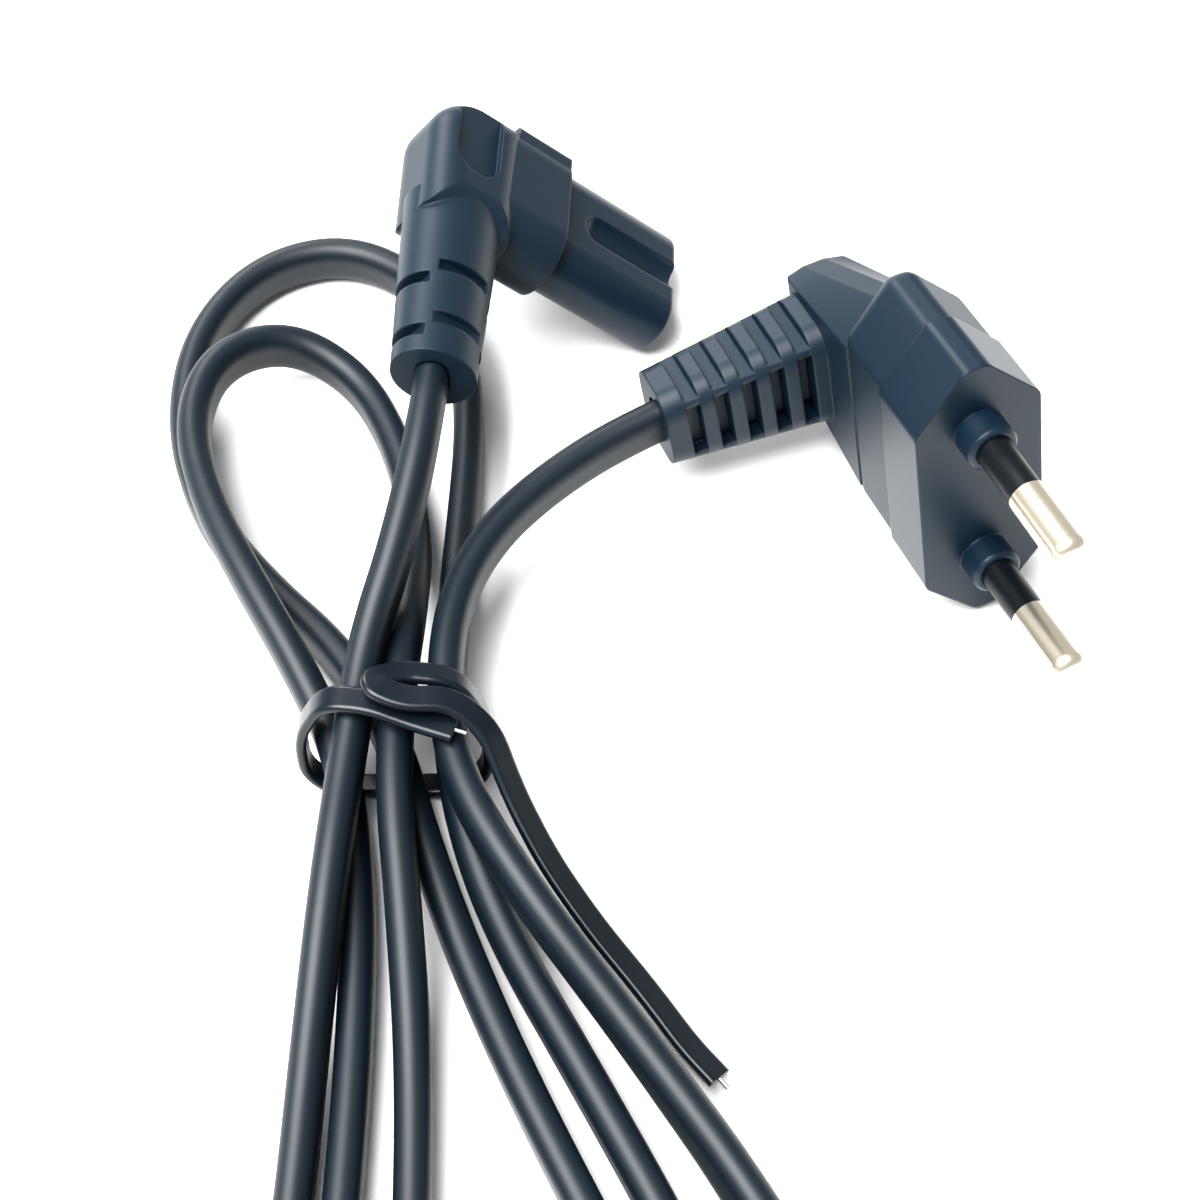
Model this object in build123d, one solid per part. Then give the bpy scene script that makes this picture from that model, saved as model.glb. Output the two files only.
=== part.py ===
from build123d import *
from math import atan2, degrees, radians, tan
import os

os.makedirs("parts", exist_ok=True)

# A mains lead of flat two-core flex, 1.5 m long: an angled two-pin plug on one end and an angled
# figure-eight connector on the other. It lies on a table as it is packed, folded into a hank
# with two loops above a twist tie and three long folds below it.
# Z is up and the table is Z = 0. Millimetres and degrees.

# Flat flex
cord_width = 5.6
cord_thickness = 3.5
core_diameter = 2.0
conductor_diameter = 1.1
floor_gap = 0.05
core_spacing = cord_width - cord_thickness

# Plug: the face that meets the wall
face_length = 35.3
face_width = 13.8
face_flat = 22.6
face_tip = 2.6
face_corner = 1.5
bridge_depth = 8.3
bridge_lip = 0.4
shell_depth = 18.5
shell_round = 2.6
# Plug: the lower end draws in behind the face, so that the plug stands on it
foot_start = 4.0
foot_angle = 12.0
# Plug: the grip behind the shell, from its shoulder to its back
grip_start = 17.0
grip_depth = 34.0
grip_round = 1.6
plug_axis_depth = 27.8

# Plug pins: a solid end, a thinner sleeved stem, and a barrel for the conductor
pin_diameter = 4.0
pin_length = 19.0
stem_diameter = 3.0
sleeve_diameter = 3.8
sleeve_tip_diameter = 3.7
sleeve_end = 10.0
sleeve_root = 3.0
pin_pitch = 18.6
pin_tip_pitch = 17.5
pin_dome = 1.2
barrel_end = 14.0
barrel_grip = 3.0
collar_diameter = 5.4
collar_height = 3.3
collar_taper = 0.35

# Plug strain relief: ribs joined by an upper and a lower web, with a window on each side
ladder_start = 6.6
first_gap = 8.2
rib_pitch = 3.28
gap_width = 1.65
gap_count = 5
ladder_end = 25.4
ladder_root = (14.0, 10.2)
ladder_tip = (10.2, 8.6)
web_inset = 1.1
web_thickness = 0.9
sheath_wall = 0.7
rib_round = 3.0
plug_cord_depth = 10.6

# Connector: the nose that enters the appliance
contact_pitch = 8.6
lobe_radius = 3.95
nose_length = 17.1
nose_root = 12.3
nose_round = 0.8
groove_radius = 2.1
groove_depth = 1.5
groove_start = 3.2
entry_diameter = 3.4
contact_bore = 2.4
contact_wall = 0.35
contact_slit = 0.5
contact_recess = 1.2
contact_length = 12.0
tail_length = 4.0

# Connector: the head behind the nose
head_back = 5.8
head_top = 7.9
head_bottom = 9.5
head_thickness = 10.8
head_corner = 5.6
head_round = 3.4
boss_radius = 5.1
panel_top = 8.0
panel_bottom = 1.5
panel_start = 4.8
panel_thickness = 9.8
thumb_width = 5.6
thumb_depth = 0.8
thumb_centre = -0.6
thumb_end = 4.0

# Connector strain relief: an oval taper with slots that step round it
relief_root = (11.6, 10.4)
relief_tip = (9.6, 8.4)
relief_start = 6.0
relief_end = 29.6
slot_width = 1.5
slot_pitch = 7.1
slot_first = 18.0
slot_step = 1.7
slot_reach = 6.2
connector_cord_depth = 14.5

# Twist tie: a ribbon of soft plastic over a steel wire
tie_width = 3.0
tie_thickness = 1.1
tie_wire_diameter = 0.5
tie_wire_proud = 1.2

# How the two ends lie: the way the cord leaves each, and the way its pins or nose point
plug_centre = (39.3, 1.0)
plug_cord_way = (-0.923, -0.367, -0.117)
plug_pin_way = (0.346, -0.923, 0.169)
connector_centre = (-16.2, 43.7)
connector_cord_way = (-0.046, -0.999, -0.002)
connector_nose_way = (0.782, -0.018, -0.628)

# Where the cord's middle line goes, from the connector to the plug
lead_points = [
    (-20.4, -3.6, 16.8), (-23.8, -14.0, 12.2), (-24.9, -25.0, 10.3), (-25.9, -38.0, 9.4), (-27.0, -53.0, 5.0),
    (-27.6, -71.0, 3.0), (-29.4, -97.0, 3.0), (-30.2, -126.0, 3.0), (-29.6, -148.0, 3.0),
]
first_fold = [
    (-26.6, -167.0, 3.0), (-16.6, -181.4, 3.0), (0.0, -186.6, 3.0), (17.0, -180.0, 3.0), (26.4, -165.0, 3.0),
    (27.6, -145.0, 3.0), (24.8, -122.0, 3.0), (17.8, -95.0, 3.0), (8.0, -73.0, 3.0), (-1.3, -55.8, 3.0),
    (-9.4, -41.4, 3.2), (-13.9, -29.6, 4.2), (-15.8, -18.0, 4.3), (-15.9, -6.0, 3.4),
]
outer_loop = [
    (-15.2, 8.0, 3.0), (-14.8, 22.0, 3.0), (-16.4, 34.4, 3.0), (-21.8, 44.4, 3.0), (-31.4, 49.6, 3.0),
    (-41.4, 46.0, 3.0), (-47.6, 35.6, 3.0), (-48.2, 22.0, 3.0), (-44.2, 9.6, 3.0), (-36.6, -0.4, 3.0),
    (-27.6, -9.2, 3.4), (-21.2, -20.0, 4.3), (-17.9, -31.0, 4.2),
]
second_fold = [
    (-13.2, -43.4, 3.2), (-7.0, -57.2, 3.0), (2.8, -76.0, 3.0), (11.0, -98.0, 3.0), (16.4, -124.0, 3.0),
    (17.4, -144.0, 3.0), (12.0, -159.4, 3.0), (-2.0, -168.6, 3.0), (-16.0, -162.4, 3.0), (-22.6, -147.0, 3.0),
    (-24.0, -127.0, 3.0), (-24.0, -98.0, 3.0), (-23.3, -74.0, 3.0), (-23.0, -54.4, 3.0), (-23.6, -38.0, 3.7),
    (-26.0, -23.0, 4.5),
]
inner_loop = [
    (-31.4, -13.0, 7.6), (-37.2, -3.4, 9.2), (-42.6, 6.6, 9.2), (-45.8, 17.6, 9.0), (-43.8, 27.4, 8.6),
    (-36.4, 32.6, 6.2), (-28.2, 28.8, 3.6), (-23.0, 19.0, 3.2), (-20.2, 7.0, 3.6), (-19.9, -5.0, 7.4),
    (-20.4, -16.6, 10.2),
]
third_fold = [
    (-20.3, -29.0, 10.0), (-18.6, -42.0, 7.6), (-17.2, -56.0, 4.0), (-16.6, -74.0, 3.0), (-17.0, -98.0, 3.0),
    (-16.0, -122.0, 3.0), (-13.8, -139.0, 4.4), (-10.4, -155.4, 9.0), (-5.4, -173.0, 9.2), (0.6, -189.4, 9.0),
    (9.0, -201.0, 5.4), (21.4, -207.0, 3.1), (34.2, -204.0, 3.0), (42.4, -191.6, 3.0), (44.4, -173.0, 3.0),
    (42.4, -148.0, 3.0), (36.6, -124.0, 3.0), (27.2, -95.0, 3.0), (15.6, -70.0, 3.2), (3.0, -52.4, 5.6),
    (-7.8, -39.0, 9.6), (-14.4, -27.4, 10.2),
]
plug_lead = [
    (-16.1, -15.5, 10.1), (-14.6, -4.0, 10.1), (-8.6, 5.8, 10.3),
]

# Where the tie goes: from its cut end round the bundle and out along its tail
tie_points = [
    (-14.2, -24.6, 13.9), (-18.5, -23.3, 14.2), (-22.5, -22.0, 14.9), (-27.3, -21.2, 14.4), (-30.2, -21.8, 9.0),
    (-30.1, -22.9, 3.4), (-27.2, -23.6, 0.75), (-20.6, -23.6, 0.65), (-13.7, -23.4, 0.65), (-11.5, -22.4, 2.8),
    (-11.3, -20.5, 9.4), (-14.2, -19.1, 14.9), (-20.0, -18.8, 15.4),
]
tail_points = [
    (-22.9, -20.9, 16.9), (-19.2, -22.6, 16.3), (-14.6, -22.2, 15.9), (-10.8, -24.6, 13.9), (-8.4, -29.8, 10.2),
    (-5.0, -35.5, 7.2), (-0.5, -41.5, 5.0), (4.2, -47.0, 3.6), (8.4, -52.6, 2.6), (11.2, -55.6, 2.2),
]


def rounded_path(points, label=None):
    """Straight runs joined by tangent arcs, each arc as large as its two runs allow."""
    knots = [Vector(*point) for point in points]
    radii = []
    for before, here, after in zip(knots, knots[1:], knots[2:]):
        turn = radians((here - before).get_angle(after - here))
        radii.append(0.45 * min((here - before).length, (after - here).length) / tan(turn / 2))
    if label:
        print(label, "radii", [round(radius, 1) for radius in radii])
    return FilletPolyline(*knots, radius=radii)


def along(path, section):
    """A section swept along a path: its X axis lies level and across the path at the start."""
    start = path % 0
    across = start.cross(Vector(0, 0, 1)).normalized()
    return sweep(Plane(origin=path @ 0, x_dir=across, z_dir=start) * section, path=path)


def rounded_bar(size, length, corner):
    """A bar along X with a rounded rectangular section, size across Y and Z."""
    section = Plane.YZ * RectangleRounded(size[0], size[1], corner)
    return extrude(section, length)


def taper(root, tip, start, end, corner):
    """A tapered bar along X between two rounded rectangular sections."""
    first = Plane.YZ.offset(start) * RectangleRounded(*root, corner)
    last = Plane.YZ.offset(end) * RectangleRounded(*tip, corner)
    return loft([first.face(), last.face()])


# Plug, in its own frame: +X is the way the cord leaves, Y is the face's length, +Z the way the pins point

def face_outline(inset=0.0):
    half_width = face_width / 2 - inset
    half_length = face_length / 2 - inset
    corners = [
        (half_width, -face_flat / 2), (half_width, face_flat / 2), (face_tip / 2, half_length),
        (-face_tip / 2, half_length), (-half_width, face_flat / 2), (-half_width, -face_flat / 2),
        (-face_tip / 2, -half_length), (face_tip / 2, -half_length),
    ]
    outline = make_face(Polyline(*corners, close=True))
    return fillet(outline.vertices(), face_corner)


def pin_frame(side):
    lean = degrees(atan2((pin_pitch - pin_tip_pitch) / 2, pin_length))
    return Pos(0, side * pin_pitch / 2, 0) * Rot(X=side * lean)


def make_pin():
    end = Pos(0, 0, sleeve_end) * extrude(Circle(pin_diameter / 2), pin_length - sleeve_end)
    end = fillet(end.edges().group_by(Axis.Z)[-1], pin_dome)
    stem = Pos(0, 0, -barrel_end) * extrude(Circle(stem_diameter / 2), barrel_end + sleeve_end)
    barrel = Pos(0, 0, -barrel_end) * extrude(Circle(conductor_diameter / 2), barrel_grip)
    return end + stem - barrel


def sleeve_outside():
    """The sleeve tapers a little towards the pin's end, as it leaves its mould."""
    return Pos(0, 0, (sleeve_end - sleeve_root) / 2) * Cone(
        sleeve_diameter / 2, sleeve_tip_diameter / 2, sleeve_root + sleeve_end)


def make_sleeve():
    stem = Pos(0, 0, -sleeve_root) * extrude(Circle(stem_diameter / 2), sleeve_root + sleeve_end)
    return sleeve_outside() - stem


def foot_cut():
    """What the lower end loses behind the face."""
    size = 60.0
    return Pos(0, face_length / 2, -foot_start) * Rot(X=-foot_angle) * Pos(0, size / 2, -size / 2) * Box(
        size, size, size)


def make_bridge():
    plate = Pos(0, 0, -bridge_depth) * extrude(face_outline(), bridge_depth) - foot_cut()
    for side in (-1, 1):
        collar = extrude(Circle(collar_diameter / 2), collar_height)
        collar = chamfer(collar.edges().group_by(Axis.Z)[-1], collar_taper)
        pin_way = Pos(0, 0, -bridge_depth - 1) * extrude(Circle(stem_diameter / 2), bridge_depth + 1)
        plate += pin_frame(side) * collar
        plate -= pin_frame(side) * (pin_way + sleeve_outside())
    return plate


def plug_core_path(side):
    """From the end of the cord inside the plug to the barrel of a pin."""
    behind_pin = (pin_frame(side) * Pos(0, 0, -barrel_end - 5)).position
    pin_end = (pin_frame(side) * Pos(0, 0, -barrel_end)).position
    return rounded_path([
        (plug_cord_depth, side * core_spacing / 2, -plug_axis_depth),
        (plug_cord_depth - 3.5, side * core_spacing / 2, -plug_axis_depth),
        (1.5, side * (pin_pitch / 2 - 4.5), -plug_axis_depth + 2.5),
        (behind_pin.X, behind_pin.Y, behind_pin.Z),
        (pin_end.X, pin_end.Y, pin_end.Z),
    ])


def make_ladder():
    """Ribs on a bar that two windows per gap open down to the cord's cover."""
    body = taper(ladder_root, ladder_tip, ladder_start, ladder_end, rib_round)
    cover_y = cord_width + 2 * sheath_wall
    cover_z = cord_thickness + 2 * sheath_wall
    for number in range(gap_count):
        start = first_gap + number * rib_pitch
        share = (start + gap_width / 2 - ladder_start) / (ladder_end - ladder_start)
        height = ladder_root[0] + (ladder_tip[0] - ladder_root[0]) * share
        depth = ladder_root[1] + (ladder_tip[1] - ladder_root[1]) * share
        web_height = height - 2 * web_inset
        ring = Rectangle(height + 2, depth + 2) - Rectangle(web_height, depth - 0.8)
        windows = Rectangle(web_height - 2 * web_thickness, depth + 1) - Rectangle(cover_y, cover_z)
        body -= extrude(Plane.YZ.offset(start) * (ring + windows), gap_width)
    return Pos(0, 0, -plug_axis_depth) * body


def grip_outline(depth, sides, flats, tips, tip_middle):
    """The grip's section at a depth: where its near and far sides stand, how far its upper and lower
    flats and tips reach, and where the tips' middle is."""
    far, near = sides
    right = tip_middle + face_tip / 2
    left = tip_middle - face_tip / 2
    corners = [
        (near, -flats[0]), (near, flats[1]), (right, tips[1]), (left, tips[1]), (far, flats[1]),
        (far, -flats[0]), (left, -tips[0]), (right, -tips[0]),
    ]
    return Pos(0, 0, -depth) * make_face(Polyline(*corners, close=True))


def make_plug_body():
    shell = Pos(0, 0, -shell_depth) * extrude(face_outline(bridge_lip), shell_depth - bridge_depth)
    shell = fillet(shell.edges().group_by(Axis.Z)[0], shell_round) - foot_cut()
    near = face_width / 2 - bridge_lip
    front = grip_outline(grip_start, (0.6 - near, near), (9.8, 10.9), (13.8, 14.6), 0.0)
    back = grip_outline(grip_depth, (-0.2, near), (7.6, 6.6), (8.0, 8.2), near / 2)
    grip = loft([back.face(), front.face()])
    grip = fillet(grip.edges().group_by(Axis.Z)[0], grip_round)
    neck = Pos(0, 0, -plug_axis_depth) * rounded_bar(ladder_root, ladder_start, rib_round)
    return shell + grip + neck + make_ladder()


# Connector, in its own frame: +X is the way the cord leaves, +Z the way the nose points

def racetrack(radius, spacing=contact_pitch):
    return SlotCenterToCenter(spacing, 2 * radius)


def make_insert_block():
    """The nose and its root, before the contacts' spaces are taken out."""
    nose = Pos(0, 0, nose_root) * extrude(racetrack(lobe_radius), nose_length)
    nose = fillet(nose.edges().group_by(Axis.Z)[-1], nose_round)
    for side in (-1, 1):
        groove_axis = side * (lobe_radius + groove_radius - groove_depth)
        start = Pos(0, groove_axis, nose_root + groove_start + groove_radius)
        nose -= start * extrude(Circle(groove_radius), nose_length)
        nose -= start * Sphere(groove_radius)
    return nose + Pos(0, 0, nose_root - tail_length) * extrude(racetrack(lobe_radius - 0.8), tail_length)


def make_insert():
    body = make_insert_block()
    for side in (-1, 1):
        body -= contact_frame(side) * contact_space()
    return body


def contact_frame(side):
    """The mouth of one entry, on the end of the nose."""
    return Pos(side * contact_pitch / 2, 0, nose_root + nose_length)


def contact_radius():
    return contact_bore / 2 + contact_wall


def contact_space():
    entry = Pos(0, 0, -contact_recess) * extrude(Circle(entry_diameter / 2), contact_recess + 1)
    sleeve = Pos(0, 0, -contact_recess - contact_length) * extrude(Circle(contact_radius()), contact_length)
    tail = Pos(0, 0, -nose_length - tail_length) * extrude(Circle(contact_radius()), nose_length)
    return entry + sleeve + tail


def make_contact():
    """A rolled sleeve with a slit, and a solid tail that holds the conductor."""
    tube = Circle(contact_radius()) - Circle(contact_bore / 2)
    tube -= Pos(0, contact_radius()) * Rectangle(contact_slit, 2 * contact_radius())
    sleeve = Pos(0, 0, -contact_recess - contact_length) * extrude(tube, contact_length)
    tail_top = -contact_recess - contact_length
    tail = Pos(0, 0, -nose_length - tail_length) * extrude(
        Circle(contact_radius()), tail_top + nose_length + tail_length)
    socket = Pos(0, 0, -nose_length - tail_length) * extrude(Circle(conductor_diameter / 2), tail_length / 2)
    return sleeve + tail - socket


def connector_core_path(side):
    return rounded_path([
        (connector_cord_depth, side * core_spacing / 2, 0),
        (connector_cord_depth - 3.5, side * core_spacing / 2, 0),
        (side * contact_pitch / 2 + 2.5, side * core_spacing / 2, 1.0),
        (side * contact_pitch / 2, 0, nose_root - tail_length - 3.5),
        (side * contact_pitch / 2, 0, nose_root - tail_length),
    ])


def make_connector_body():
    side_view = Plane(origin=(0, 0, 0), x_dir=(1, 0, 0), z_dir=(0, -1, 0))
    outline = Polyline(
        (head_bottom, -head_back + 0.4), (-head_top, -head_back), (-head_top, head_back + 0.6),
        (head_bottom, head_back), close=True,
    )
    profile = make_face(outline)
    corner = profile.vertices().sort_by_distance((-head_top, -head_back, 0))[0]
    profile = fillet([corner], head_corner)
    head = extrude(side_view * profile, head_thickness / 2, both=True)
    head = fillet(head.edges().filter_by(Plane.XZ), head_round)
    boss = extrude(racetrack(boss_radius), nose_root)
    panel = Pos((panel_bottom - panel_top) / 2, 0, (nose_root + panel_start) / 2) * Box(
        panel_top + panel_bottom, panel_thickness, nose_root - panel_start)
    panel = fillet(panel.edges().filter_by(Axis.Z), 0.9)
    body = head + boss + panel + taper_oval()
    for side in (-1, 1):
        thumb = Pos(thumb_end - 1.5 * thumb_width, side * head_thickness / 2, thumb_centre) * Rot(X=90) * extrude(
            SlotOverall(3 * thumb_width, thumb_width), thumb_depth, both=True)
        body -= thumb
    return body


def taper_oval():
    """The strain relief with two slots on each of its four sides, those of neighbouring sides a step apart."""
    first = Plane.YZ.offset(relief_start) * Ellipse(relief_root[1] / 2, relief_root[0] / 2)
    last = Plane.YZ.offset(relief_end) * Ellipse(relief_tip[1] / 2, relief_tip[0] / 2)
    relief = loft([first.face(), last.face()])
    cover_y = cord_width / 2 + sheath_wall
    for number in range(2):
        here = slot_first + number * slot_pitch
        for side in (-1, 1):
            relief -= Pos(here, side * (cover_y + 2), 0) * Box(slot_width, 4, slot_reach)
            relief -= Pos(here + slot_step, 0, side * (cover_y + 2)) * Box(slot_width, slot_reach, 4)
    return relief


# Placing

def facing(cord_way, front_way):
    """The turn of an end piece: its X along cord_way, its Z as near front_way as a right angle allows."""
    x_dir = Vector(*cord_way).normalized()
    z_dir = Vector(*front_way)
    z_dir = (z_dir - x_dir * z_dir.dot(x_dir)).normalized()
    return Plane(origin=(0, 0, 0), x_dir=x_dir, z_dir=z_dir).location


def set_down(pieces, turn, anchor, over):
    """Turns a group and lowers it onto the table, with its anchor point over the given place."""
    turned = {name: turn * shape for name, shape in pieces.items()}
    low = min(shape.bounding_box().min.Z for shape in turned.values())
    point = (turn * Pos(*anchor)).position
    move = Pos(over[0] - point.X, over[1] - point.Y, floor_gap - low)
    return {name: move * shape for name, shape in turned.items()}, move * turn


plug_pieces = {"plug_overmould": make_plug_body(), "plug_bridge": make_bridge()}
plug_cavities = []
for side, wire in ((-1, "brown"), (1, "blue")):
    pin = pin_frame(side) * make_pin()
    sleeve = pin_frame(side) * make_sleeve()
    path = plug_core_path(side)
    core = along(path, Circle(core_diameter / 2) - Circle(conductor_diameter / 2))
    conductor = along(path, Circle(conductor_diameter / 2))
    tip = pin_frame(side) * Pos(0, 0, -barrel_end) * extrude(Circle(conductor_diameter / 2), barrel_grip)
    plug_pieces[f"plug_pin_{wire}"] = pin
    plug_pieces[f"plug_sleeve_{wire}"] = sleeve
    plug_pieces[f"plug_core_{wire}"] = core
    plug_pieces[f"plug_conductor_{wire}"] = conductor + tip
    plug_cavities += [pin, core, conductor + tip]
for cavity in plug_cavities:
    plug_pieces["plug_overmould"] -= cavity

connector_pieces = {"connector_overmould": make_connector_body(), "connector_insert": make_insert()}
connector_cavities = [make_insert_block()]
for side, wire in ((-1, "brown"), (1, "blue")):
    contact = contact_frame(side) * make_contact()
    path = connector_core_path(side)
    core = along(path, Circle(core_diameter / 2) - Circle(conductor_diameter / 2))
    conductor = along(path, Circle(conductor_diameter / 2))
    tip = Pos(side * contact_pitch / 2, 0, nose_root - tail_length) * extrude(
        Circle(conductor_diameter / 2), tail_length / 2)
    connector_pieces[f"connector_contact_{wire}"] = contact
    connector_pieces[f"connector_core_{wire}"] = core
    connector_pieces[f"connector_conductor_{wire}"] = conductor + tip
    connector_cavities += [core, conductor]
for cavity in connector_cavities:
    connector_pieces["connector_overmould"] -= cavity

plug_anchor = (0, 0, 0)
connector_anchor = (0, 0, 0)
plug_pieces, plug_place = set_down(
    plug_pieces, facing(plug_cord_way, plug_pin_way), plug_anchor, plug_centre)
connector_pieces, connector_place = set_down(
    connector_pieces, facing(connector_cord_way, connector_nose_way), connector_anchor, connector_centre)


def on(place, *point):
    position = (place * Pos(*point)).position
    return (position.X, position.Y, position.Z)


connector_end = [
    on(connector_place, connector_cord_depth, 0, 0), on(connector_place, relief_end + 2, 0, 0),
]
plug_end = [
    on(plug_place, ladder_end + 2, 0, -plug_axis_depth),
    on(plug_place, plug_cord_depth, 0, -plug_axis_depth),
]
route = (connector_end + lead_points + first_fold + outer_loop + second_fold + inner_loop + third_fold
         + plug_lead + plug_end)
cord_path = rounded_path(route, "cord")
cord_section = SlotOverall(cord_width, cord_thickness, rotation=90)
cord = along(cord_path, cord_section)
print("cord length", round(cord_path.length, 1), "volume", round(cord.volume),
      "section times length", round(cord_section.area * cord_path.length))
plug_pieces["plug_overmould"] -= cord
connector_pieces["connector_overmould"] -= cord

tie_section = SlotOverall(tie_width, tie_thickness) - Circle(tie_wire_diameter / 2)
tie_path = rounded_path(tie_points + tail_points)
jacket = along(tie_path, tie_section)
wire = along(tie_path, Circle(tie_wire_diameter / 2))
print("tie volume", round(jacket.volume), "section times length", round(tie_section.area * tie_path.length))

pieces = {**plug_pieces, **connector_pieces, "cord": cord, "twist_tie_jacket": jacket, "twist_tie_wire": wire}
boxes = [shape.bounding_box() for shape in pieces.values()]
shift = Vector(
    -(min(box.min.X for box in boxes) + max(box.max.X for box in boxes)) / 2,
    -(min(box.min.Y for box in boxes) + max(box.max.Y for box in boxes)) / 2,
    -min(box.min.Z for box in boxes),
)
print("shift", [round(value, 3) for value in (shift.X, shift.Y, shift.Z)])
for name, shape in pieces.items():
    placed = Pos(shift) * shape
    box = placed.bounding_box()
    print(name, len(placed.solids()), round(placed.volume, 1), "low", round(box.min.Z, 2))
    export_step(placed, f"parts/{name}.step")
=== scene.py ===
import math

import bpy
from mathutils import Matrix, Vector


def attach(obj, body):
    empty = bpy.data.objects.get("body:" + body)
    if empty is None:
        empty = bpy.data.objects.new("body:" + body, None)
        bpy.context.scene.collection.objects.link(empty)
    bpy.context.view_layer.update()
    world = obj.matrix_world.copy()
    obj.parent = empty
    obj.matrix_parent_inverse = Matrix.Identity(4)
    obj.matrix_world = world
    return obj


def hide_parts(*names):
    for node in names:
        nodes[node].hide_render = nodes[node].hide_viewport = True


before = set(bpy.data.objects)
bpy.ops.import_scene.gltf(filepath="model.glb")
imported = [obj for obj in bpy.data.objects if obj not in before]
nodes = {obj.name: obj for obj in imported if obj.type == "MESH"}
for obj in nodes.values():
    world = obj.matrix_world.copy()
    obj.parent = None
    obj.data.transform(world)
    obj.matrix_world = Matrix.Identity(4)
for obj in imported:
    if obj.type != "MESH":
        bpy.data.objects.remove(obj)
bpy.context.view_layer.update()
mm = 0.001
print("frame loaded:", len(nodes), "nodes")


def toLinear(hexText):
    values = [int(hexText[i:i + 2], 16) / 255 for i in (1, 3, 5)]
    linear = [v / 12.92 if v <= 0.04045 else ((v + 0.055) / 1.055) ** 2.4 for v in values]
    return (*linear, 1.0)


def addNode(tree, kind, settings=None, links=None):
    node = tree.nodes.new(kind)
    for name, value in (settings or {}).items():
        if name in node.inputs:
            node.inputs[name].default_value = value
        else:
            setattr(node, name, value)
    for socket, source in (links or {}).items():
        tree.links.new(source, node.inputs[socket])
    return node


# Camera: it looks down on the table at 56 degrees, from about 0.22 m away
camera = {
    "place": (0.00042, -0.04583, 0.18314),
    "tilt": 34.0,         # degrees away from straight down
    "lens": 60.06,
    "sensor": 36.0,
    "nearest": 0.005,
    "farthest": 20.0,
}
cameraData = bpy.data.cameras.new("camera")
cameraData.lens = camera["lens"]
cameraData.sensor_width = camera["sensor"]
cameraData.clip_start = camera["nearest"]
cameraData.clip_end = camera["farthest"]
cameraObject = bpy.data.objects.new("camera", cameraData)
cameraObject.location = camera["place"]
cameraObject.rotation_euler = (math.radians(camera["tilt"]), 0.0, 0.0)
bpy.context.scene.collection.objects.link(cameraObject)
bpy.context.scene.camera = cameraObject
print("camera placed")

# Cord: the points of the route, in metres, in the order from the connector to the plug
connectorEnd = [
    (-0.0164, 0.1068, 0.0213), (-0.0172, 0.0897, 0.0213),
]
leadPoints = [
    (-0.0200, 0.0740, 0.0169), (-0.0234, 0.0636, 0.0123), (-0.0245, 0.0526, 0.0104),
    (-0.0255, 0.0396, 0.0095), (-0.0266, 0.0246, 0.0051), (-0.0272, 0.0066, 0.0031),
    (-0.0290, -0.0194, 0.0031), (-0.0298, -0.0484, 0.0031), (-0.0292, -0.0704, 0.0031),
]
firstFold = [
    (-0.0262, -0.0894, 0.0031), (-0.0162, -0.1038, 0.0031), (0.0004, -0.1090, 0.0031),
    (0.0174, -0.1024, 0.0031), (0.0268, -0.0874, 0.0031), (0.0280, -0.0674, 0.0031),
    (0.0252, -0.0444, 0.0031), (0.0182, -0.0174, 0.0031), (0.0084, 0.0046, 0.0031),
    (-0.0009, 0.0218, 0.0031), (-0.0090, 0.0362, 0.0033), (-0.0135, 0.0480, 0.0043),
    (-0.0154, 0.0596, 0.0044), (-0.0155, 0.0716, 0.0035),
]
outerLoop = [
    (-0.0148, 0.0856, 0.0031), (-0.0144, 0.0996, 0.0031), (-0.0160, 0.1120, 0.0031),
    (-0.0214, 0.1220, 0.0031), (-0.0310, 0.1272, 0.0031), (-0.0410, 0.1236, 0.0031),
    (-0.0472, 0.1132, 0.0031), (-0.0478, 0.0996, 0.0031), (-0.0438, 0.0872, 0.0031),
    (-0.0362, 0.0772, 0.0031), (-0.0272, 0.0684, 0.0035), (-0.0208, 0.0576, 0.0044),
    (-0.0175, 0.0466, 0.0043),
]
secondFold = [
    (-0.0128, 0.0342, 0.0033), (-0.0066, 0.0204, 0.0031), (0.0032, 0.0016, 0.0031),
    (0.0114, -0.0204, 0.0031), (0.0168, -0.0464, 0.0031), (0.0178, -0.0664, 0.0031),
    (0.0124, -0.0818, 0.0031), (-0.0016, -0.0910, 0.0031), (-0.0156, -0.0848, 0.0031),
    (-0.0222, -0.0694, 0.0031), (-0.0236, -0.0494, 0.0031), (-0.0236, -0.0204, 0.0031),
    (-0.0229, 0.0036, 0.0031), (-0.0226, 0.0232, 0.0031), (-0.0232, 0.0396, 0.0038),
    (-0.0256, 0.0546, 0.0046),
]
innerLoop = [
    (-0.0310, 0.0646, 0.0077), (-0.0368, 0.0742, 0.0093), (-0.0422, 0.0842, 0.0093),
    (-0.0454, 0.0952, 0.0091), (-0.0434, 0.1050, 0.0087), (-0.0360, 0.1102, 0.0063),
    (-0.0278, 0.1064, 0.0037), (-0.0226, 0.0966, 0.0033), (-0.0198, 0.0846, 0.0037),
    (-0.0195, 0.0726, 0.0075), (-0.0200, 0.0610, 0.0103),
]
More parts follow.
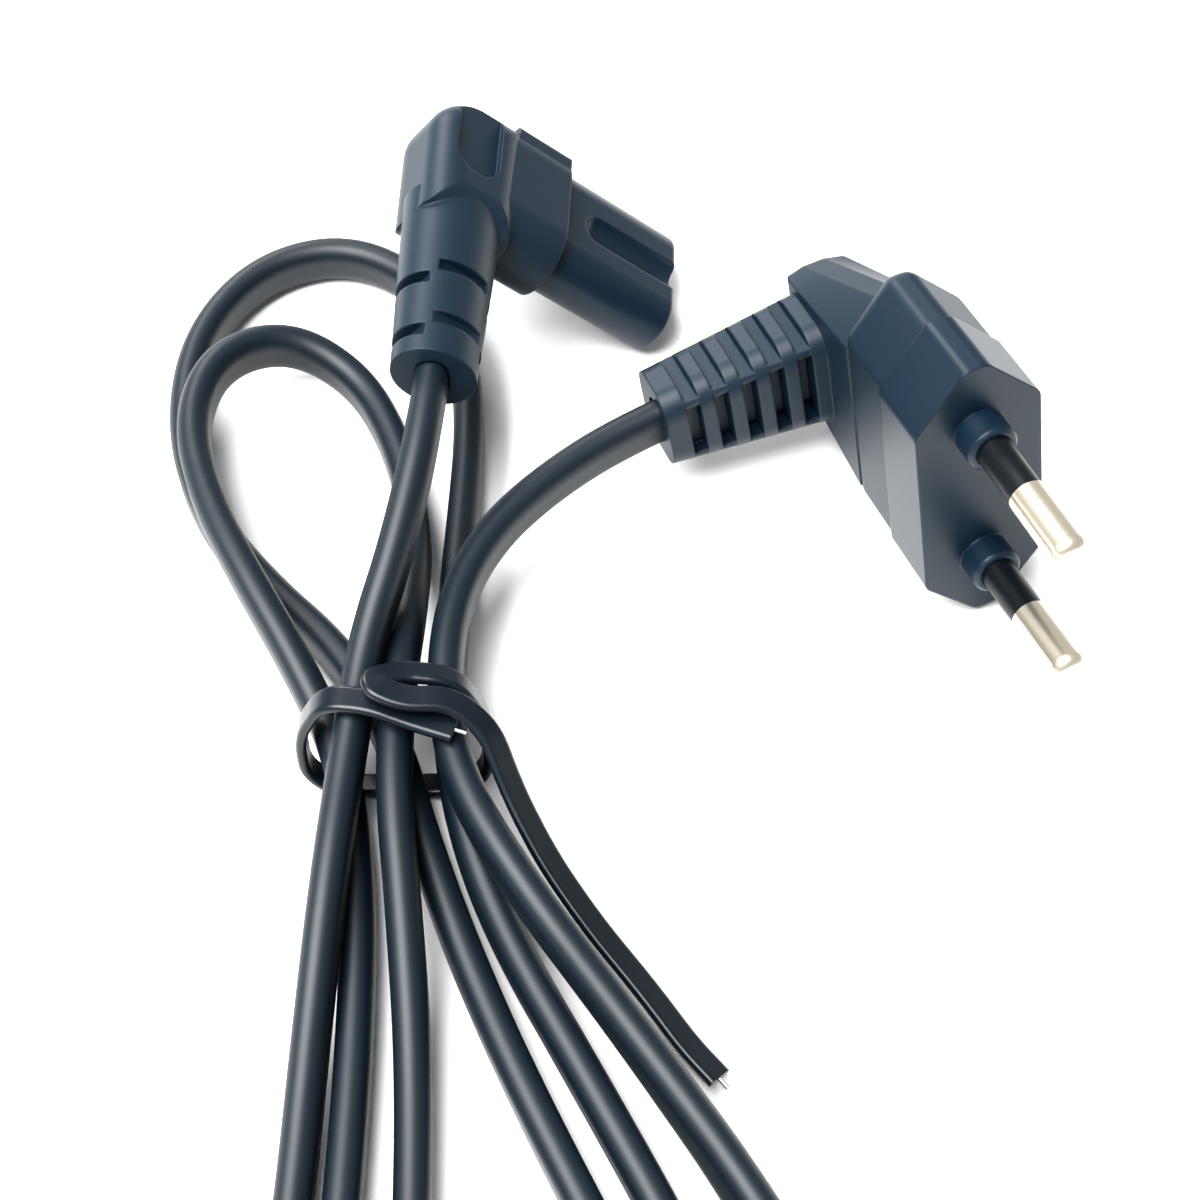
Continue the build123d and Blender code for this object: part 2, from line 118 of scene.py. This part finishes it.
thirdFold = [
    (-0.0199, 0.0486, 0.0101), (-0.0182, 0.0356, 0.0077), (-0.0168, 0.0216, 0.0041),
    (-0.0162, 0.0036, 0.0031), (-0.0166, -0.0204, 0.0031), (-0.0156, -0.0444, 0.0031),
    (-0.0134, -0.0614, 0.0045), (-0.0100, -0.0778, 0.0091), (-0.0050, -0.0954, 0.0093),
    (0.0010, -0.1118, 0.0091), (0.0094, -0.1234, 0.0055), (0.0218, -0.1294, 0.0032),
    (0.0346, -0.1264, 0.0031), (0.0428, -0.1140, 0.0031), (0.0448, -0.0954, 0.0031),
    (0.0428, -0.0704, 0.0031), (0.0370, -0.0464, 0.0031), (0.0276, -0.0174, 0.0031),
    (0.0160, 0.0076, 0.0033), (0.0034, 0.0252, 0.0057), (-0.0074, 0.0386, 0.0097),
    (-0.0140, 0.0502, 0.0103),
]
plugLead = [
    (-0.0157, 0.0621, 0.0102), (-0.0142, 0.0736, 0.0102), (-0.0082, 0.0834, 0.0104),
]
plugEnd = [
    (0.0048, 0.0942, 0.0104), (0.0203, 0.1003, 0.0123),
]
cord = {
    "width": 5.6 * mm,
    "thickness": 3.5 * mm,
    "sideSteps": 5,       # points on each flat side of the section
    "roundSteps": 9,      # points round each rounded edge
    "curveSteps": 12,     # points between two control points
    "length": 1.5,
    # share of the length, and how far the section leans there in degrees: upright but for one strand
    "twists": [(0.0, 0.0), (0.78, 0.0), (0.83, -40.0), (0.9, -40.0), (0.94, 0.0), (1.0, 0.0)],
}
routePoints = (connectorEnd + leadPoints + firstFold + outerLoop + secondFold + innerLoop + thirdFold
               + plugLead + plugEnd)


# Middle line of the cord: a smooth curve that the control points pull
def splinePath(points, steps):
    curve = bpy.data.curves.new("cordCurve", "CURVE")
    curve.dimensions = "3D"
    spline = curve.splines.new("NURBS")
    spline.points.add(len(points) - 1)
    for point, place in zip(spline.points, points):
        point.co = (*place, 1.0)
    spline.order_u = 3
    spline.use_endpoint_u = True
    spline.resolution_u = steps
    curve.resolution_u = steps
    holder = bpy.data.objects.new("cordCurve", curve)
    bpy.context.scene.collection.objects.link(holder)
    bpy.context.view_layer.update()
    line = bpy.data.meshes.new_from_object(holder)
    path = [v.co.copy() for v in line.vertices]
    bpy.data.objects.remove(holder)
    bpy.data.meshes.remove(line)
    return path


# Section of the flat cord: two flat sides and two half circles
def flatSection(width, thickness, sideSteps, roundSteps):
    radius = thickness / 2
    half = width / 2 - radius
    section = []
    for i in range(roundSteps + 1):
        turn = math.pi * i / roundSteps
        section.append((radius * math.cos(turn), half + radius * math.sin(turn)))
    for i in range(1, sideSteps):
        section.append((-radius, half - 2 * half * i / sideSteps))
    for i in range(roundSteps + 1):
        turn = math.pi + math.pi * i / roundSteps
        section.append((radius * math.cos(turn), -half + radius * math.sin(turn)))
    for i in range(1, sideSteps):
        section.append((radius, -half + 2 * half * i / sideSteps))
    return section


# Lean of the section at a share of the length, eased between the two nearest values
def twistAt(share, twists):
    for (a, turnA), (b, turnB) in zip(twists, twists[1:]):
        if share <= b:
            t = (share - a) / (b - a)
            t = t * t * (3 - 2 * t)
            return math.radians(turnA + (turnB - turnA) * t)
    return math.radians(twists[-1][1])


# Cord's skin: one ring of the section at each point of the path, and a flat cap on each end
def tubeMesh(name, path, section, twists):
    lengths = [0.0]
    for a, b in zip(path, path[1:]):
        lengths.append(lengths[-1] + (b - a).length)
    verts, faces = [], []
    count = len(section)
    for i, point in enumerate(path):
        along = (path[min(i + 1, len(path) - 1)] - path[max(i - 1, 0)]).normalized()
        up = (Vector((0, 0, 1)) - along * along.z).normalized()
        across = along.cross(up)
        turn = twistAt(lengths[i] / lengths[-1], twists)
        cosine, sine = math.cos(turn), math.sin(turn)
        for x, y in section:
            verts.append(point + across * (x * cosine - y * sine) + up * (x * sine + y * cosine))
    for i in range(len(path) - 1):
        for j in range(count):
            k = (j + 1) % count
            faces.append((i * count + j, i * count + k, (i + 1) * count + k, (i + 1) * count + j))
    faces.append(tuple(reversed(range(count))))
    faces.append(tuple((len(path) - 1) * count + j for j in range(count)))
    mesh = bpy.data.meshes.new(name)
    mesh.from_pydata(verts, [], faces)
    mesh.polygons.foreach_set("use_smooth", [True] * len(mesh.polygons))
    mesh.polygons[-1].use_smooth = False
    mesh.polygons[-2].use_smooth = False
    mesh.update()
    made = bpy.data.objects.new(name, mesh)
    bpy.context.scene.collection.objects.link(made)
    return made, lengths[-1]


cordPath = splinePath(routePoints, cord["curveSteps"])
cordSection = flatSection(cord["width"], cord["thickness"], cord["sideSteps"], cord["roundSteps"])
cordTube, cordLength = tubeMesh("cordTube", cordPath, cordSection, cord["twists"])
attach(cordTube, "root")
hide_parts("cord")
print("cord swept:", len(cordPath), "rings,", round(cordLength, 3), "m")

# Tie: its steel wire stands a little out of the ribbon at both cut ends
tieWire = {
    "radius": 0.25 * mm,
    "proud": 1.2 * mm,
    "hidden": 0.1 * mm,   # how far each piece reaches into the ribbon
    "sides": 16,
    # where each cut end is, in metres, and which way the ribbon runs from it
    "ends": {
        "tieWireHead": ((-0.01378, 0.05297, 0.01404), (-0.955, 0.289, 0.067)),
        "tieWireTail": ((0.01162, 0.02197, 0.00234), (-0.679, 0.728, 0.097)),
    },
}
wireEnds = []
for name, (place, inward) in tieWire["ends"].items():
    inward = Vector(inward).normalized()
    bpy.ops.mesh.primitive_cylinder_add(
        vertices=tieWire["sides"], radius=tieWire["radius"], depth=tieWire["proud"] + tieWire["hidden"],
        location=Vector(place) - inward * (tieWire["proud"] - tieWire["hidden"]) / 2,
        rotation=inward.to_track_quat("Z", "Y").to_euler())
    wireEnd = bpy.context.object
    wireEnd.name = name
    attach(wireEnd, "root")
    wireEnds.append(wireEnd)
print("wire ends set:", len(wireEnds))


def makeMaterial(name):
    material = bpy.data.materials.new(name)
    material.use_nodes = True
    tree = material.node_tree
    tree.nodes.clear()
    return material, tree


# Plain plastic: one colour, a soft sheen, edges a little rounded and a faint grain from the tool's steel
surface = {"grainDetail": 2.0, "edgeSamples": 6}


def mouldedPlastic(name, look):
    material, tree = makeMaterial(name)
    place = addNode(tree, "ShaderNodeTexCoord")
    grain = addNode(tree, "ShaderNodeTexNoise", {
        "Scale": 1 / (look["grainMm"] * mm), "Detail": surface["grainDetail"],
    }, {"Vector": place.outputs["Object"]})
    softEdge = addNode(tree, "ShaderNodeBevel", {
        "Radius": look["edgeMm"] * mm, "samples": surface["edgeSamples"],
    })
    bump = addNode(tree, "ShaderNodeBump", {
        "Strength": look["grainStrength"], "Distance": look["grainDepthMm"] * mm,
    }, {"Height": grain.outputs["Fac"], "Normal": softEdge.outputs["Normal"]})
    shader = addNode(tree, "ShaderNodeBsdfPrincipled", {
        "Base Color": toLinear(look["colour"]), "Roughness": look["roughness"], "IOR": look["ior"],
        "Specular IOR Level": look["specular"],
    }, {"Normal": bump.outputs["Normal"]})
    addNode(tree, "ShaderNodeOutputMaterial", None, {"Surface": shader.outputs["BSDF"]})
    return material


def plainMetal(name, look):
    material, tree = makeMaterial(name)
    shader = addNode(tree, "ShaderNodeBsdfPrincipled", {
        "Base Color": toLinear(look["colour"]), "Metallic": 1.0, "Roughness": look["roughness"],
    })
    addNode(tree, "ShaderNodeOutputMaterial", None, {"Surface": shader.outputs["BSDF"]})
    return material


# Flexible PVC, injection moulded round the ends: near-black blue grey with a soft, broad sheen
mouldedPvcLook = {"colour": "#0d202d", "roughness": 0.46, "ior": 1.53, "specular": 0.34, "edgeMm": 0.35,
                  "grainMm": 0.35, "grainStrength": 0.35, "grainDepthMm": 0.03}
# Flexible PVC, extruded: the cord's cover, smoother to the touch, with a broad dull band along its top
extrudedPvcLook = {"colour": "#08161f", "roughness": 0.48, "ior": 1.53, "specular": 0.42, "edgeMm": 0.1,
                   "grainMm": 0.8, "grainStrength": 0.15, "grainDepthMm": 0.02}
# Hard PVC or polypropylene, injection moulded: the pin plate and the figure-eight nose
hardPlasticLook = {"colour": "#0b1f2d", "roughness": 0.38, "ior": 1.49, "specular": 0.38, "edgeMm": 0.35,
                   "grainMm": 0.3, "grainStrength": 0.2, "grainDepthMm": 0.02}
# Nylon sleeves on the pins: the blackest pieces
nylonLook = {"colour": "#070d13", "roughness": 0.4, "ior": 1.53, "specular": 0.28, "edgeMm": 0.15,
             "grainMm": 0.3, "grainStrength": 0.1, "grainDepthMm": 0.01}
# PVC ribbon of the tie, extruded over its wire: thin, black and glossier than the cord
ribbonLook = {"colour": "#0c151d", "roughness": 0.3, "ior": 1.53, "specular": 0.36, "edgeMm": 0.2,
              "grainMm": 0.5, "grainStrength": 0.15, "grainDepthMm": 0.02}
# Core insulation, PVC: brown and blue, hidden in the ends
coreBrownLook = {"colour": "#5a3a22", "roughness": 0.45, "ior": 1.53, "specular": 0.5, "edgeMm": 0.05,
                 "grainMm": 0.5, "grainStrength": 0.1, "grainDepthMm": 0.01}
coreBlueLook = {**coreBrownLook, "colour": "#2358a6"}
# Metals: nickel-plated brass pins that shine warm white, rolled brass strip, bare copper, drawn steel wire
nickelLook = {"colour": "#f3ead6", "roughness": 0.3}
contactLook = {"colour": "#d8b25e", "roughness": 0.25}
copperLook = {"colour": "#c9754a", "roughness": 0.3}
steelLook = {"colour": "#b8b8b6", "roughness": 0.3}

mouldedPvc = mouldedPlastic("mouldedPvc", mouldedPvcLook)
extrudedPvc = mouldedPlastic("extrudedPvc", extrudedPvcLook)
hardPlastic = mouldedPlastic("hardPlastic", hardPlasticLook)
nylon = mouldedPlastic("nylonSleeve", nylonLook)
ribbonPvc = mouldedPlastic("ribbonPvc", ribbonLook)
coreBrown = mouldedPlastic("corePvcBrown", coreBrownLook)
coreBlue = mouldedPlastic("corePvcBlue", coreBlueLook)
nickel = plainMetal("nickelPlatedBrass", nickelLook)
contactBrass = plainMetal("rolledBrass", contactLook)
copper = plainMetal("copperWire", copperLook)
steel = plainMetal("steelWire", steelLook)

finishes = {
    "plug_overmould": (mouldedPvc, "soft_pvc"), "plug_bridge": (hardPlastic, "hard_plastic"),
    "plug_pin_brown": (nickel, "pin_brass"), "plug_pin_blue": (nickel, "pin_brass"),
    "plug_sleeve_brown": (nylon, "sleeve_plastic"), "plug_sleeve_blue": (nylon, "sleeve_plastic"),
    "plug_core_brown": (coreBrown, "core_brown"), "plug_core_blue": (coreBlue, "core_blue"),
    "plug_conductor_brown": (copper, "copper"), "plug_conductor_blue": (copper, "copper"),
    "connector_overmould": (mouldedPvc, "soft_pvc"), "connector_insert": (hardPlastic, "hard_plastic"),
    "connector_contact_brown": (contactBrass, "contact_brass"),
    "connector_contact_blue": (contactBrass, "contact_brass"),
    "connector_core_brown": (coreBrown, "core_brown"), "connector_core_blue": (coreBlue, "core_blue"),
    "connector_conductor_brown": (copper, "copper"), "connector_conductor_blue": (copper, "copper"),
    "twist_tie_jacket": (ribbonPvc, "tie_plastic"), "twist_tie_wire": (steel, "tie_steel"),
}


def coat(piece, material):
    piece.data.materials.clear()
    piece.data.materials.append(material)


for nodeName, (material, slotName) in finishes.items():
    coat(nodes[nodeName], material)
coat(cordTube, extrudedPvc)
for wireEnd in wireEnds:
    coat(wireEnd, steel)
print("finishes on:", len(finishes) + 1 + len(wireEnds), "pieces")
# Floor: matt white paper on the table, so wide that its edges stay out of view
floorLook = {"colour": "#f4f4f3", "roughness": 0.9, "specular": 0.1, "size": 12.0}
half = floorLook["size"] / 2
floorCorners = [(-half, -half, 0), (half, -half, 0), (half, half, 0), (-half, half, 0)]
floorMesh = bpy.data.meshes.new("floor")
floorMesh.from_pydata(floorCorners, [], [(0, 1, 2, 3)])
floor = bpy.data.objects.new("floor", floorMesh)
bpy.context.scene.collection.objects.link(floor)
paper, paperTree = makeMaterial("whitePaper")
paperShader = addNode(paperTree, "ShaderNodeBsdfPrincipled", {
    "Base Color": toLinear(floorLook["colour"]), "Roughness": floorLook["roughness"],
    "Specular IOR Level": floorLook["specular"],
})
addNode(paperTree, "ShaderNodeOutputMaterial", None, {"Surface": paperShader.outputs["BSDF"]})
floorMesh.materials.append(paper)

# Light: one broad soft light from the upper left, and a weaker one on the far side
lights = {
    "overhead": {"place": (-0.35, -0.1, 0.85), "aim": (0, 0, 0), "size": 0.7, "power": 20.0},
    "window": {"place": (-0.3, 0.75, 0.45), "aim": (0, 0, 0), "size": 0.3, "power": 2.5},
}
for name, light in lights.items():
    data = bpy.data.lights.new(name, "AREA")
    data.shape = "SQUARE"
    data.size = light["size"]
    data.energy = light["power"]
    lamp = bpy.data.objects.new(name, data)
    lamp.location = light["place"]
    lamp.rotation_euler = (Vector(light["aim"]) - Vector(light["place"])).to_track_quat("-Z", "Y").to_euler()
    bpy.context.scene.collection.objects.link(lamp)

skyLook = {"colour": "#ffffff", "strength": 0.38}
world = bpy.data.worlds.new("studio")
world.use_nodes = True
world.node_tree.nodes.clear()
sky = addNode(world.node_tree, "ShaderNodeBackground", {
    "Color": toLinear(skyLook["colour"]), "Strength": skyLook["strength"],
})
addNode(world.node_tree, "ShaderNodeOutputWorld", None, {"Surface": sky.outputs["Background"]})
bpy.context.scene.world = world

# Picture: bright and contrasty, as the photo is
picture = {"transform": "Standard", "look": "Medium High Contrast", "exposure": 0.35}
viewSettings = bpy.context.scene.view_settings
viewSettings.view_transform = picture["transform"]
viewSettings.look = picture["look"]
viewSettings.exposure = picture["exposure"]
print("floor and lights set")
